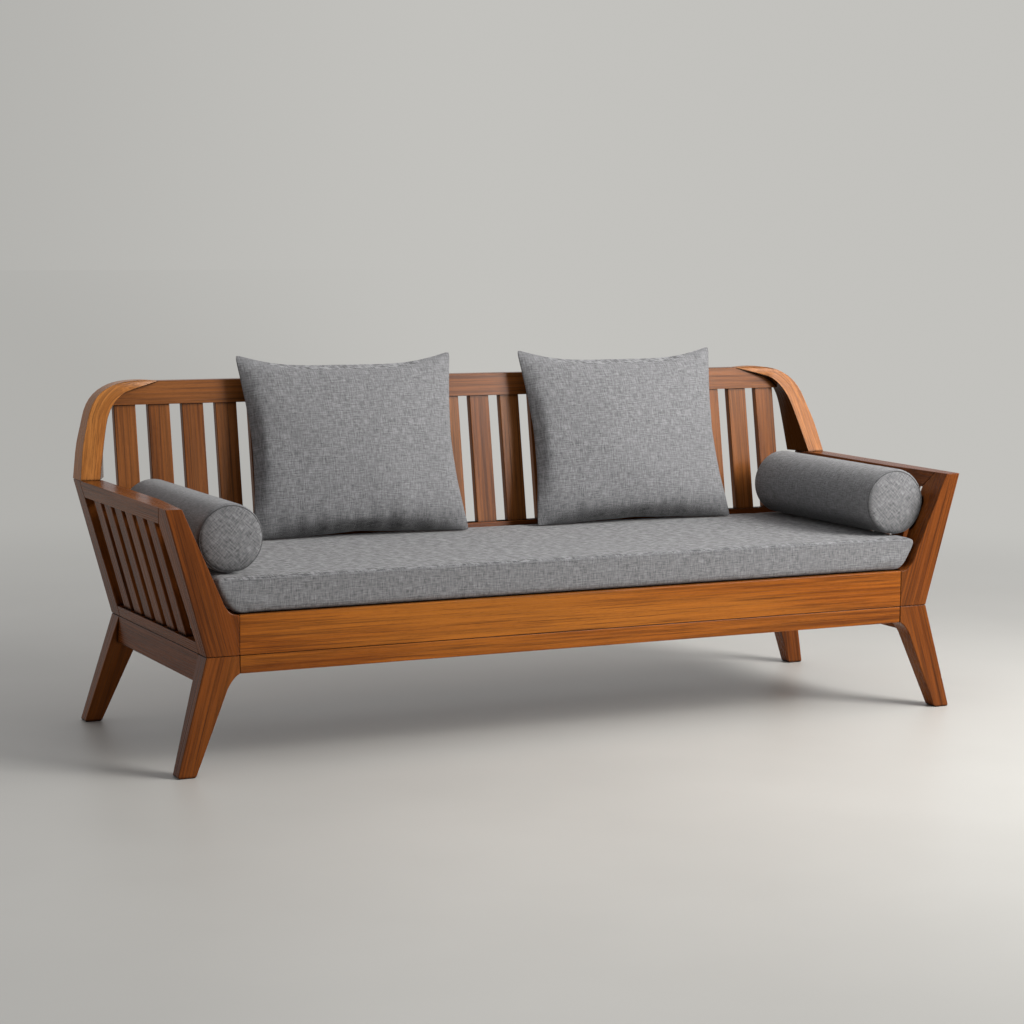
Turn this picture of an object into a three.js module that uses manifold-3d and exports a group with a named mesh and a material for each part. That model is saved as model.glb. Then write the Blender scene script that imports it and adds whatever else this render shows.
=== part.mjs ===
// Slatted hardwood daybed with splayed legs and arms, bent corner arches, a slatted seat deck,
// a boxed seat cushion, two throw pillows and two bolsters.
//
// Millimetres, +Z up, +X along the length, +Y towards the back. The origin is on the floor, under
// the middle of the whole object. Pieces are laid out with y = 0 at the front face of the front
// rail, and the outermost group moves that layout to the origin.
//
// Wooden pieces meet in mortises and tenons, and every joint keeps a little air on each face.

import * as THREE from 'three';
import { mergeVertices } from 'three/addons/utils/BufferGeometryUtils.js';
import Module from 'manifold-3d';

const wasm = await Module();
wasm.setup();

// ---------- driving dimensions ----------

const GAP = 0.3;                       // air between two pieces that meet
const FIT = 0.35;                      // air around a tenon
const TENON_END = 1.5;                 // air past the end of a slat's tenon

const HALF_LENGTH = 1000;              // middle to the corner where leg and arm post meet
const JOINT_Z = 275;                   // height of that joint
const ARM_Z = 620;                     // top of the arms
const ARM_SPLAY = 97;                  // lean of an arm outwards, from JOINT_Z to ARM_Z
const LEG_SPLAY = 75;                  // lean of a leg outwards, from JOINT_Z to the floor
const FOOT_WIDTH = 44;
const FOOT_BEVEL = 4;

const RAIL = { half: 919, bottom: 232.5, top: 369, thick: 36 };

const POST_CURVE_Z = 397;              // height where a post's straight inner edge ends
const FRONT_POST = { curveX: 957.5, topWidth: 40 };
const FRONT_POST_AT_CAP = { curveX: 957.5, topWidth: 44 };
const REAR_POST = { curveX: 967, topWidth: 57 };
const POST_BACK = 706;                 // y of the rear posts' back faces
const FRONT_POST_BACK = { joint: 49, top: 86 };
const REAR_POST_FRONT = { joint: 636, top: 650 };

const FRONT_LEG = { front: { joint: 0, floor: -12 }, back: { joint: 60, floor: 28 } };
const REAR_LEG = { front: { joint: 647, floor: 698 }, back: { joint: 704, floor: 737 } };

const APRON = { bottom: 206, thick: 50 };
const OPENING = { bottom: 303.5, top: 578.5 }; // heights of an arm's slatted opening
const ARM_RAIL_WIDTH = 58;
const CAP_JOINT_TOP = 47;              // y of the cap's slanted front joint at ARM_Z
const CAP_TAPER_END = 215;             // y where the cap has its full width

const ARM_SLAT = { count: 6, width: 54, thick: 18, recess: 8, first: 167, pitch: 81.4, tenon: 10 };

const BACK_SLOPE = 0.178;              // lean of the back, depth over height
const BACK_AT_SEAT = 660.6;            // y of the back's front face at the height RAIL.top
const BACK_THICK = 28.4;
const TOP_RAIL = { bottom: 798, top: 857 };
const REAR_RAIL = { bottom: 280, top: 461 };
const BACK_SLAT = { count: 22, outer: 979, width: 57.5, thick: 20, tenon: 14 };

const ARCH = {
  foot: ARM_Z + GAP, tip: 861, proud: 961,     // proud: x from which the face stands fully forward
  front: 645, frontSlope: 0.345, back: 712, backSlope: 0.265,
  flare: 30, flareTop: 800,
};

const DECK = { top: 368.7, thick: 14, slats: 13, width: 66, firstSlat: -880, half: 914,
  front: 37, back: 653, bearer: 28, bearerHigh: 11 };
const LEDGE = { top: 344.4, high: 22, deep: 22, half: 912 };   // carries the deck, on both long rails

const CUSHION = { bottom: 370.6, top: 455, front: 4, back: 657 };
const PILLOW = { width: 590, height: 466, flat: 30, bulge: 42, edge: 90, lean: 0.275, centre: [642, 687] };
const PILLOW_X = { left: -361, right: 447 };
const BOLSTER = { round: 10, sides: 28 };
const BOLSTERS = {
  left: { x: -917, radius: 81, front: 50, back: 646 },
  right: { x: 925.5, radius: 86, front: 43, back: 618 },
};
const REST = 1.5;                      // air under the loose pillows and bolsters

const ARM_SLOPE = ARM_SPLAY / (ARM_Z - JOINT_Z);
const POST_FOOT = JOINT_Z + GAP / 2;
const LEG_TOP = JOINT_Z - GAP / 2;
const BACK_EDGE = backFace(TOP_RAIL.top) + BACK_THICK;
const DEPTH_MIDDLE = (BACK_EDGE + FRONT_LEG.front.floor) / 2;

const FRAME_WOOD = { color: 0x8a4a22, roughness: 0.45, metalness: 0 };
const RAIL_WOOD = { color: 0xa0601f, roughness: 0.42, metalness: 0 };
const LINEN = { color: 0x77777a, roughness: 0.95, metalness: 0 };

// ---------- solids ----------

function solidOf(geometry) {
  const bare = new THREE.BufferGeometry();
  bare.setAttribute('position', geometry.getAttribute('position').clone());
  if (geometry.index) bare.setIndex(geometry.index.clone());
  const merged = mergeVertices(bare, 1e-3);
  return new wasm.Manifold(new wasm.Mesh({
    numProp: 3,
    vertProperties: new Float32Array(merged.getAttribute('position').array),
    triVerts: new Uint32Array(merged.index.array),
  }));
}

function geometryOf(solid) {
  const mesh = solid.getMesh();
  const geometry = new THREE.BufferGeometry();
  geometry.setAttribute('position', new THREE.BufferAttribute(mesh.vertProperties, 3));
  geometry.setIndex(new THREE.BufferAttribute(mesh.triVerts, 1));
  geometry.computeVertexNormals();
  return geometry;
}

function box(low, high) {
  const size = high.map((value, axis) => value - low[axis]);
  const geometry = new THREE.BoxGeometry(...size);
  geometry.translate(...low.map((value, axis) => value + size[axis] / 2));
  return solidOf(geometry);
}

// Skins front-view outlines (x, z), all with the same number of points, from front to back. Each
// station has an outline and y(x, z), the depth of each of its points.
function loft(stations) {
  const steps = stations.length - 1;
  const first = stations[0].outline;
  const geometry = new THREE.ExtrudeGeometry(new THREE.Shape(first),
    { depth: steps, steps, bevelEnabled: false });
  const position = geometry.getAttribute('position');
  for (let i = 0; i < position.count; i++) {
    const point = first.findIndex((p) =>
      Math.hypot(p.x - position.getX(i), p.y - position.getY(i)) < 1e-3);
    const station = stations[steps - Math.round(position.getZ(i))];
    const { x, y: z } = station.outline[point];
    position.setXYZ(i, x, station.y(x, z), z);
  }
  return solidOf(geometry);
}

function prism(outline, front, back) {
  return loft([{ outline, y: front }, { outline, y: back }]);
}

function points(...pairs) {
  return pairs.map(([x, z]) => new THREE.Vector2(x, z));
}

// Gives one piece a tenon that fills the box, and cuts its mortise in the other piece.
function tenon(pieces, from, into, low, high) {
  pieces[from] = pieces[from].add(box(low, high));
  const wider = box(low.map((value) => value - FIT), high.map((value) => value + FIT));
  pieces[into] = pieces[into].subtract(wider);
}

function mirrored(geometry) {
  const copy = geometry.clone();
  copy.scale(-1, 1, 1);
  const index = copy.index.array;
  for (let i = 0; i < index.length; i += 3) {
    [index[i], index[i + 1]] = [index[i + 1], index[i]];
  }
  copy.computeVertexNormals();
  return copy;
}

// ---------- faces that pieces share ----------

function between(z, lowZ, low, highZ, high) {
  return low + (high - low) * (z - lowZ) / (highZ - lowZ);
}

function armOuter(z) {
  return HALF_LENGTH + ARM_SLOPE * (z - JOINT_Z);
}

function postInner(z, post) {
  return between(z, POST_CURVE_Z, post.curveX, ARM_Z, armOuter(ARM_Z) - post.topWidth);
}

function frontPostBack(z) {
  if (z <= OPENING.top) {
    return between(z, JOINT_Z, FRONT_POST_BACK.joint, ARM_Z, FRONT_POST_BACK.top);
  }
  return between(z, OPENING.top, frontPostBack(OPENING.top), ARM_Z, CAP_JOINT_TOP);
}

function rearPostFront(z) {
  return between(z, JOINT_Z, REAR_POST_FRONT.joint, ARM_Z, REAR_POST_FRONT.top);
}

function legFace(face) {
  return (x, z) => between(z, 0, face.floor, JOINT_Z, face.joint);
}

// y of the reclined back's front face, or of a face set back from it
function backFace(z, set = 0) {
  return BACK_AT_SEAT + BACK_SLOPE * (z - RAIL.top) + set;
}

// ---------- legs, posts and arms, for the side with x > 0 ----------

function legOutline() {
  const foot = HALF_LENGTH + LEG_SPLAY;
  const inner = foot - FOOT_WIDTH;
  const path = new THREE.Path();
  path.moveTo(RAIL.half + GAP, LEG_TOP);
  path.lineTo(RAIL.half + GAP, RAIL.bottom);
  path.quadraticCurveTo(RAIL.half + 16, RAIL.bottom - 6, RAIL.half + 31, RAIL.bottom - 34);
  path.lineTo(inner - FOOT_BEVEL / 2, FOOT_BEVEL);
  path.lineTo(inner + FOOT_BEVEL / 2, 0);
  path.lineTo(foot - FOOT_BEVEL, 0);
  path.lineTo(foot - FOOT_BEVEL / 4, FOOT_BEVEL);
  path.lineTo(HALF_LENGTH, LEG_TOP);
  return path.getPoints(5);
}

// A slanted shaft that curves at its foot into the end of the rail.
function postOutline(post) {
  const path = new THREE.Path();
  path.moveTo(HALF_LENGTH, POST_FOOT);
  path.lineTo(armOuter(OPENING.top), OPENING.top);
  path.lineTo(armOuter(ARM_Z), ARM_Z);
  path.lineTo(postInner(ARM_Z, post), ARM_Z);
  path.lineTo(postInner(OPENING.top, post), OPENING.top);
  path.lineTo(post.curveX, POST_CURVE_Z);
  path.quadraticCurveTo(postInner(RAIL.top, post), RAIL.top, RAIL.half + GAP, RAIL.top);
  path.lineTo(RAIL.half + GAP, POST_FOOT);
  return path.getPoints(6);
}

function armRailOutline(low, high, width) {
  return points([armOuter(low), low], [armOuter(high), high],
    [armOuter(high) - width(high), high], [armOuter(low) - width(low), low]);
}

// The cap leaves the front post at the post's width and slowly widens on its inner side.
function armCap() {
  const full = armRailOutline(OPENING.top, ARM_Z, () => ARM_RAIL_WIDTH);
  const narrow = armRailOutline(OPENING.top, ARM_Z,
    (z) => armOuter(z) - postInner(z, FRONT_POST_AT_CAP));
  return loft([
    { outline: narrow, y: (x, z) => frontPostBack(z) + GAP },
    { outline: full, y: () => CAP_TAPER_END },
    { outline: full, y: (x, z) => rearPostFront(z) - GAP },
  ]);
}

function armBottomRail() {
  const outline = armRailOutline(POST_FOOT, OPENING.bottom, () => ARM_RAIL_WIDTH);
  return prism(outline, (x, z) => frontPostBack(z) + GAP, (x, z) => rearPostFront(z) - GAP);
}

function apron() {
  const outline = points([HALF_LENGTH, APRON.bottom], [HALF_LENGTH, LEG_TOP],
    [HALF_LENGTH - APRON.thick, LEG_TOP], [HALF_LENGTH - APRON.thick, APRON.bottom]);
  const front = legFace(FRONT_LEG.back);
  const back = legFace(REAR_LEG.front);
  return prism(outline, (x, z) => front(x, z) + GAP, (x, z) => back(x, z) - GAP);
}

// An arm slat centred on y = 0, or the space of its mortises where it is grown by a fit.
function armSlat(fit = 0, past = 0) {
  const { width, thick, recess } = ARM_SLAT;
  const low = OPENING.bottom - ARM_SLAT.tenon - past;
  const high = OPENING.top + ARM_SLAT.tenon + past;
  const outer = (z) => armOuter(z) - recess + fit;
  const inner = (z) => armOuter(z) - recess - thick - fit;
  const outline = points([outer(low), low], [outer(high), high], [inner(high), high],
    [inner(low), low]);
  return prism(outline, () => -width / 2 - fit, () => width / 2 + fit);
}

function armSlatY(index) {
  return ARM_SLAT.first + ARM_SLAT.pitch * index;
}

// ---------- corner arches ----------

function archOuterEdge() {
  return new THREE.SplineCurve(points([1095.5, ARCH.foot], [1081.5, 697], [1066, 748], [1050, 794],
    [1026, 826], [992, 847], [955, 857], [906, 860], [ARCH.tip, TOP_RAIL.top])).getPoints(20);
}

function archInnerEdge() {
  return new THREE.SplineCurve(points([1045.5, ARCH.foot], [1028, 697], [1014, 752], [1002, 783],
    [985, 808], [960, 829], [930, 838.5], [906, 844.5], [ARCH.tip, TOP_RAIL.top - 1.5])).getPoints(20);
}

// The arch's front face starts flush with the back rail at the scarf tip and comes forward from it.
function archFront(x, z) {
  const forward = Math.min(1, (x - ARCH.tip) / (ARCH.proud - ARCH.tip));
  const full = ARCH.front + ARCH.frontSlope * (z - ARM_Z);
  return backFace(z) + (full - backFace(z)) * forward;
}

function archBack(x, z) {
  return ARCH.back + ARCH.backSlope * (z - ARM_Z);
}

function arch() {
  const inner = archInnerEdge();
  const flared = inner.map((p) => {
    const flare = ARCH.flare * Math.max(0, (ARCH.flareTop - p.y) / (ARCH.flareTop - ARM_Z));
    return new THREE.Vector2(p.x - flare, p.y);
  });
  const outer = archOuterEdge().reverse();
  return loft([
    { outline: [...inner, ...outer], y: archFront },
    { outline: [...flared, ...outer], y: archBack },
  ]);
}

function sidePieces() {
  const pieces = {
    front_leg: prism(legOutline(), legFace(FRONT_LEG.front), legFace(FRONT_LEG.back)),
    rear_leg: prism(legOutline(), legFace(REAR_LEG.front), legFace(REAR_LEG.back)),
    front_arm_post: loft([
      { outline: postOutline(FRONT_POST), y: () => 0 },
      { outline: postOutline(FRONT_POST_AT_CAP), y: (x, z) => frontPostBack(z) },
    ]),
    rear_arm_post: prism(postOutline(REAR_POST), (x, z) => rearPostFront(z),
      () => POST_BACK),
    arm_cap: armCap(),
    arm_bottom_rail: armBottomRail(),
    side_apron: apron(),
    corner_arch: arch(),
  };
  tenon(pieces, 'front_arm_post', 'front_leg', [948, 16, 250], [976, 38, POST_FOOT + 5]);
  tenon(pieces, 'rear_arm_post', 'rear_leg', [948, 664, 250], [976, 686, POST_FOOT + 5]);
  tenon(pieces, 'side_apron', 'front_leg', [964, 26, 216], [984, 80, 244]);
  tenon(pieces, 'side_apron', 'rear_leg', [964, 640, 216], [984, 682, 244]);
  tenon(pieces, 'arm_bottom_rail', 'front_arm_post', [962, 28, 282], [984, 70, 297]);
  tenon(pieces, 'arm_bottom_rail', 'rear_arm_post', [962, 620, 282], [984, 662, 297]);
  tenon(pieces, 'arm_cap', 'front_arm_post', [1056, 42, 585], [1074, 95, 599]);
  tenon(pieces, 'arm_cap', 'rear_arm_post', [1052, 620, 585], [1074, 672, 599]);
  tenon(pieces, 'corner_arch', 'rear_arm_post', [1054, 664, 603], [1082, 688, ARCH.foot + 5]);
  const slot = armSlat(FIT, TENON_END);
  for (let i = 0; i < ARM_SLAT.count; i++) {
    const placed = slot.translate([0, armSlatY(i), 0]);
    pieces.arm_cap = pieces.arm_cap.subtract(placed);
    pieces.arm_bottom_rail = pieces.arm_bottom_rail.subtract(placed);
  }
  return pieces;
}

// ---------- rails and back ----------

function bothWays(half) {
  const other = half.map((p) => new THREE.Vector2(-p.x, p.y)).reverse();
  return [...half, ...other];
}

function frontRail(low, high) {
  return box([-RAIL.half, 0, low], [RAIL.half, RAIL.thick, high]);
}

function ledge(front) {
  return box([-LEDGE.half, front, LEDGE.top - LEDGE.high], [LEDGE.half, front + LEDGE.deep, LEDGE.top]);
}

// Fills the space between the rear posts, whose curved inner edges shape its ends.
function rearRail() {
  const air = 2 * GAP;
  const path = new THREE.Path();
  path.moveTo(RAIL.half - GAP, REAR_RAIL.bottom);
  path.lineTo(RAIL.half - GAP, RAIL.top + air);
  path.quadraticCurveTo(postInner(RAIL.top, REAR_POST) - air, RAIL.top + air,
    REAR_POST.curveX - air, POST_CURVE_Z + air);
  path.lineTo(postInner(REAR_RAIL.top, REAR_POST) - air, REAR_RAIL.top);
  return prism(bothWays(path.getPoints(6)), (x, z) => backFace(z), (x, z) => backFace(z, BACK_THICK));
}

// Its ends are coped to the inner edges of the arches.
function topRail() {
  const air = 2 * GAP;
  const edge = archInnerEdge();
  const next = edge.findIndex((p) => p.y > TOP_RAIL.bottom + air);
  const [low, high] = [edge[next - 1], edge[next]];
  const corner = between(TOP_RAIL.bottom + air, low.y, low.x, high.y, high.x) - air;
  const coped = edge.slice(next).map((p) => new THREE.Vector2(p.x - air, p.y - air));
  const half = [...points([corner, TOP_RAIL.bottom]), ...coped,
    ...points([ARCH.tip - air, TOP_RAIL.top])];
  return prism(bothWays(half), (x, z) => backFace(z), (x, z) => backFace(z, BACK_THICK));
}

// A back slat centred on x = 0, or the space of its mortises where it is grown by a fit.
function backSlat(fit = 0, past = 0) {
  const low = REAR_RAIL.top - BACK_SLAT.tenon - past;
  const high = TOP_RAIL.bottom + BACK_SLAT.tenon + past;
  const half = BACK_SLAT.width / 2 + fit;
  const recess = (BACK_THICK - BACK_SLAT.thick) / 2;
  const outline = points([-half, low], [half, low], [half, high], [-half, high]);
  return prism(outline, (x, z) => backFace(z, recess - fit),
    (x, z) => backFace(z, recess + BACK_SLAT.thick + fit));
}

function backSlatX(index) {
  const last = BACK_SLAT.outer - BACK_SLAT.width / 2;
  return -last + index * 2 * last / (BACK_SLAT.count - 1);
}

function crossPieces(side) {
  const pieces = {
    front_rail_upper: frontRail(POST_FOOT, RAIL.top).add(ledge(RAIL.thick)),
    front_rail_lower: frontRail(RAIL.bottom, LEG_TOP),
    rear_rail: rearRail().add(ledge(backFace(LEDGE.top) - LEDGE.deep + LEDGE.high * BACK_SLOPE)),
    back_top_rail: topRail(),
  };
  const joints = [
    ['front_rail_upper', 'front_arm_post', [890, 11, 292], [944, 25, 352]],
    ['front_rail_lower', 'front_leg', [890, 11, 242], [944, 25, 266]],
    ['rear_rail', 'rear_arm_post', [890, 661, 300], [944, 673, 356]],
    ['back_top_rail', 'corner_arch', [955, 744, 805], [1008, 756, 820]],
  ];
  for (const [rail, post, low, high] of joints) {
    const pair = { rail: pieces[rail], post: side[post] };
    tenon(pair, 'rail', 'post', low, high);
    const left = box([-high[0], low[1], low[2]], [-low[0], high[1], high[2]]);
    pieces[rail] = pair.rail.add(left);
    side[post] = pair.post;
  }
  const slot = backSlat(FIT, TENON_END);
  for (let i = 0; i < BACK_SLAT.count; i++) {
    const placed = slot.translate([backSlatX(i), 0, 0]);
    pieces.rear_rail = pieces.rear_rail.subtract(placed);
    pieces.back_top_rail = pieces.back_top_rail.subtract(placed);
  }
  return pieces;
}

// Slats from front to back, let a little into three lengthwise bearers.
function seatDeck() {
  const slatBottom = DECK.top - DECK.thick;
  const bearerTop = slatBottom + 1;
  const middle = (DECK.front + DECK.back - DECK.bearer) / 2;
  const pitch = -2 * DECK.firstSlat / (DECK.slats - 1);
  let deck = null;
  for (const y of [DECK.front, middle, DECK.back - DECK.bearer]) {
    const bearer = box([-DECK.half, y, bearerTop - DECK.bearerHigh],
      [DECK.half, y + DECK.bearer, bearerTop]);
    deck = deck ? deck.add(bearer) : bearer;
  }
  for (let i = 0; i < DECK.slats; i++) {
    const x = DECK.firstSlat + i * pitch - DECK.width / 2;
    deck = deck.add(box([x, DECK.front, slatBottom], [x + DECK.width, DECK.back, DECK.top]));
  }
  return deck;
}

// ---------- cushions ----------

function seatCushion() {
  const half = points([904, CUSHION.bottom], [930, CUSHION.bottom + 6], [946, CUSHION.bottom + 24],
    [976, CUSHION.top - 9], [969, CUSHION.top]);
  return prism(bothWays(half), () => CUSHION.front, () => CUSHION.back);
}

// A pillow upright and centred on the origin.
function pillow() {
  const { width, height, flat, bulge, edge } = PILLOW;
  const x = width / 2 - edge;
  const z = height / 2 - edge;
  const shape = new THREE.Shape(points([-x, -z], [x, -z], [x, z], [-x, z]));
  const geometry = new THREE.ExtrudeGeometry(shape, { depth: flat, steps: 1, bevelEnabled: true,
    bevelThickness: bulge, bevelSize: edge, bevelSegments: 3 });
  geometry.translate(0, 0, -flat / 2);
  geometry.rotateX(Math.PI / 2);
  return geometryOf(solidOf(geometry));
}

function bolster({ radius, front, back }) {
  const { round, sides } = BOLSTER;
  const length = back - front;
  const profile = [[0, 0], [radius - round, 0], [radius, round], [radius, length - round],
    [radius - round, length], [0, length]];
  const geometry = new THREE.LatheGeometry(points(...profile), sides);
  return geometryOf(solidOf(geometry));
}

// ---------- assembly ----------

function mesh(name, geometry, finish) {
  const made = new THREE.Mesh(geometry, new THREE.MeshStandardMaterial(finish));
  made.name = name;
  return made;
}

function addSides(layout, side) {
  for (const [name, piece] of Object.entries(side)) {
    const geometry = geometryOf(piece);
    layout.add(mesh(`${name}_right`, geometry, FRAME_WOOD));
    layout.add(mesh(`${name}_left`, mirrored(geometry), FRAME_WOOD));
  }
  const slat = geometryOf(armSlat());
  const leftSlat = mirrored(slat);
  for (let i = 0; i < ARM_SLAT.count; i++) {
    const right = mesh(`arm_slat_right_${i + 1}`, slat, FRAME_WOOD);
    const left = mesh(`arm_slat_left_${i + 1}`, leftSlat, FRAME_WOOD);
    right.position.y = armSlatY(i);
    left.position.y = armSlatY(i);
    layout.add(right, left);
  }
}

function addBackSlats(layout) {
  const slat = geometryOf(backSlat());
  for (let i = 0; i < BACK_SLAT.count; i++) {
    const placed = mesh(`back_slat_${String(i + 1).padStart(2, '0')}`, slat, FRAME_WOOD);
    placed.position.x = backSlatX(i);
    layout.add(placed);
  }
}

function addCushions(layout) {
  layout.add(mesh('seat_cushion', geometryOf(seatCushion()), LINEN));
  for (const [side, x] of Object.entries(PILLOW_X)) {
    const made = mesh(`throw_pillow_${side}`, pillow(), LINEN);
    made.position.set(x, ...PILLOW.centre);
    made.rotation.x = -Math.atan(PILLOW.lean);
    layout.add(made);
  }
  for (const [side, roll] of Object.entries(BOLSTERS)) {
    const made = mesh(`bolster_${side}`, bolster(roll), LINEN);
    made.position.set(roll.x, roll.front, CUSHION.top + REST + roll.radius);
    layout.add(made);
  }
}

function daybed() {
  const layout = new THREE.Group();
  const side = sidePieces();
  const cross = crossPieces(side);
  addSides(layout, side);
  for (const [name, piece] of Object.entries(cross)) {
    layout.add(mesh(name, geometryOf(piece), RAIL_WOOD));
  }
  addBackSlats(layout);
  layout.add(mesh('seat_deck', geometryOf(seatDeck()), FRAME_WOOD));
  addCushions(layout);
  layout.position.y = -DEPTH_MIDDLE;
  const object = new THREE.Group();
  object.add(layout);
  return object;
}

export default daybed();
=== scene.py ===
"""Look of the slatted daybed: oiled hardwood frame, heathered linen cushion, pillows and bolsters."""
import math

import bmesh
import bpy
import numpy as np
from mathutils import Matrix, Vector, noise
from mathutils.bvhtree import BVHTree

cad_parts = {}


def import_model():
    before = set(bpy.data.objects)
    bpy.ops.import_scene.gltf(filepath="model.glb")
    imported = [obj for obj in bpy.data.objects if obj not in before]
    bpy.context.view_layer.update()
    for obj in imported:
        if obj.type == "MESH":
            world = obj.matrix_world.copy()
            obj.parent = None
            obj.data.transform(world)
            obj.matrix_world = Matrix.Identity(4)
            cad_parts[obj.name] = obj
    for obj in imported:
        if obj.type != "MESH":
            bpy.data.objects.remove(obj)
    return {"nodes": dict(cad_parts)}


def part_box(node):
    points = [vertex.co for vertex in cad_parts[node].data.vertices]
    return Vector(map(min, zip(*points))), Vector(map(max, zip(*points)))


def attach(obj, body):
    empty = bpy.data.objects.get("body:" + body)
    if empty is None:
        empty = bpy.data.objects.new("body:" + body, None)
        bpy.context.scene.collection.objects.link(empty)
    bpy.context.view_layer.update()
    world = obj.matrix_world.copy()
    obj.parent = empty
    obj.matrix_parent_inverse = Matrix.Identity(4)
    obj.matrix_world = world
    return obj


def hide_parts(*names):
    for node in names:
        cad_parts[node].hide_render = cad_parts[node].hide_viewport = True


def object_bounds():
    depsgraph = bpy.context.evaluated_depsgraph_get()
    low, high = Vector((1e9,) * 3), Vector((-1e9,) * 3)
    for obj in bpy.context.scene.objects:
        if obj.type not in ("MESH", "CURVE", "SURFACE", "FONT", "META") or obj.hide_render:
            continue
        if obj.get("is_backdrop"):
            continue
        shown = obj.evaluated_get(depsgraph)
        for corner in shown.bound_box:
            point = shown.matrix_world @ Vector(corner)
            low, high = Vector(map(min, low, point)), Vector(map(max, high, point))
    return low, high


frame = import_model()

CAD_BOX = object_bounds()
SOFT = {"seat_cushion", "throw_pillow_left", "throw_pillow_right", "bolster_left", "bolster_right"}

# ---------- shader helpers ----------


class Shader:
    """Short calls for building a node tree."""

    def __init__(self, name):
        self.material = bpy.data.materials.new(name)
        self.material.use_nodes = True
        self.tree = self.material.node_tree
        self.bsdf = self.tree.nodes["Principled BSDF"]

    def add(self, kind, inputs=None, **settings):
        node = self.tree.nodes.new(kind)
        for key, value in settings.items():
            setattr(node, key, value)
        for key, value in (inputs or {}).items():
            if isinstance(value, bpy.types.NodeSocket):
                self.tree.links.new(value, node.inputs[key])
            else:
                node.inputs[key].default_value = value
        return node

    def math(self, operation, a, b=0.0, c=0.0, clamp=False):
        node = self.add("ShaderNodeMath", {0: a, 1: b, 2: c}, operation=operation, use_clamp=clamp)
        return node.outputs[0]

    def scaled(self, vector, scale, location=(0, 0, 0)):
        inputs = {"Vector": vector, "Location": location, "Scale": scale}
        return self.add("ShaderNodeMapping", inputs).outputs[0]

    def turned(self, vector, rotation):
        return self.add("ShaderNodeMapping", {"Vector": vector, "Rotation": rotation}).outputs[0]

    def noise(self, vector, scale=1.0, detail=2.0, roughness=0.5, distortion=0.0):
        return self.add("ShaderNodeTexNoise", {"Vector": vector, "Scale": scale, "Detail": detail,
                        "Roughness": roughness, "Distortion": distortion}).outputs["Fac"]

    def remap(self, value, low, high, to_low=0.0, to_high=1.0):
        return self.add("ShaderNodeMapRange", {"Value": value, "From Min": low, "From Max": high,
                        "To Min": to_low, "To Max": to_high}, clamp=True).outputs[0]

    def blend(self, factor, a, b):
        node = self.add("ShaderNodeMix", data_type="RGBA", blend_type="MIX")
        for socket, value in ((node.inputs[0], factor), (node.inputs[6], a), (node.inputs[7], b)):
            if isinstance(value, bpy.types.NodeSocket):
                self.tree.links.new(value, socket)
            else:
                socket.default_value = value
        return node.outputs[2]

    def bump(self, height, strength, distance):
        inputs = {"Height": height, "Strength": strength, "Distance": distance}
        return self.add("ShaderNodeBump", inputs).outputs[0]

    def axes(self, vector):
        node = self.add("ShaderNodeSeparateXYZ", {0: vector})
        return [node.outputs[i] for i in range(3)]

    def openness(self, distance, samples):
        """1 on open surfaces, lower where another surface is nearer than the distance."""
        node = self.add("ShaderNodeAmbientOcclusion", {"Distance": distance}, samples=samples)
        return node.outputs["AO"]

    def link(self, value, socket):
        self.tree.links.new(value, self.bsdf.inputs[socket])


def colour(r, g, b):
    """Linear colour from the usual 0 to 255 values."""
    channel = lambda v: ((v / 255 + 0.055) / 1.055) ** 2.4 if v > 10.3 else v / 255 / 12.92
    return (channel(r), channel(g), channel(b), 1.0)


def times(tone, factor):
    return [c * factor for c in tone[:3]] + [1]


# ---------- materials ----------

# An arch rises from its foot, bends round a centre and runs on into the back rail.
BEND_OUT, BEND_HIGH, FOOT_SPLAY = 1.113, 0.765, 0.22
BEND_RADIUS, ARCH_LEAN = 0.08, -0.30

# Noise turns per metre along the grain and across it.
WANDER, FIGURE, LINES, PORES = (1.2, 11, 11), (2.4, 130, 130), (3.6, 400, 400), (60, 1300, 1300)
JOINT_SHADE = 0.008                    # reach of the painted shade in joints and crevices, in metres

# Noise turns per metre along a yarn, across it, and along a thick slub.
YARN_LONG, YARN_WIDE, SLUB_LONG = 42, 330, 16
ROUND_OF_BOLSTER = 0.085               # metres of cloth per radian round a bolster


def grain(shader, along, seed, arch_side):
    """Coordinates in metres with x along the grain; on an arch, x follows the bend."""
    place = shader.add("ShaderNodeTexCoord").outputs["Object"]
    if arch_side:
        x, y, z = shader.axes(place)
        outwards = shader.math("MULTIPLY", x, float(arch_side))
        beyond = shader.math("SUBTRACT", outwards, BEND_OUT)
        across = shader.math("MULTIPLY_ADD", z, FOOT_SPLAY, beyond)
        up = shader.math("SUBTRACT", z, BEND_HIGH)
        past, over = (shader.math("MAXIMUM", v, 0.0) for v in (across, up))
        squares = shader.math("MULTIPLY_ADD", past, past, shader.math("MULTIPLY", over, over))
        ring = shader.math("SQRT", squares)
        bend = shader.math("MULTIPLY", shader.math("ARCTAN2", over, past), BEND_RADIUS)
        run = shader.math("SUBTRACT", shader.math("ADD", shader.math("MINIMUM", up, 0.0), bend),
                          shader.math("MINIMUM", across, 0.0))
        depth = shader.math("MULTIPLY_ADD", z, ARCH_LEAN, y)
        bent = shader.add("ShaderNodeCombineXYZ", {0: run, 1: ring, 2: depth}).outputs[0]
        return shader.scaled(bent, (1, 1, 1), (seed * 1.37, seed * 0.71, seed * 0.43))
    turn = Vector(along).rotation_difference(Vector((1, 0, 0))).to_euler()
    straight = shader.turned(place, turn)
    return shader.scaled(straight, (1, 1, 1), (seed * 1.37, seed * 0.71, seed * 0.43))


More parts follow.
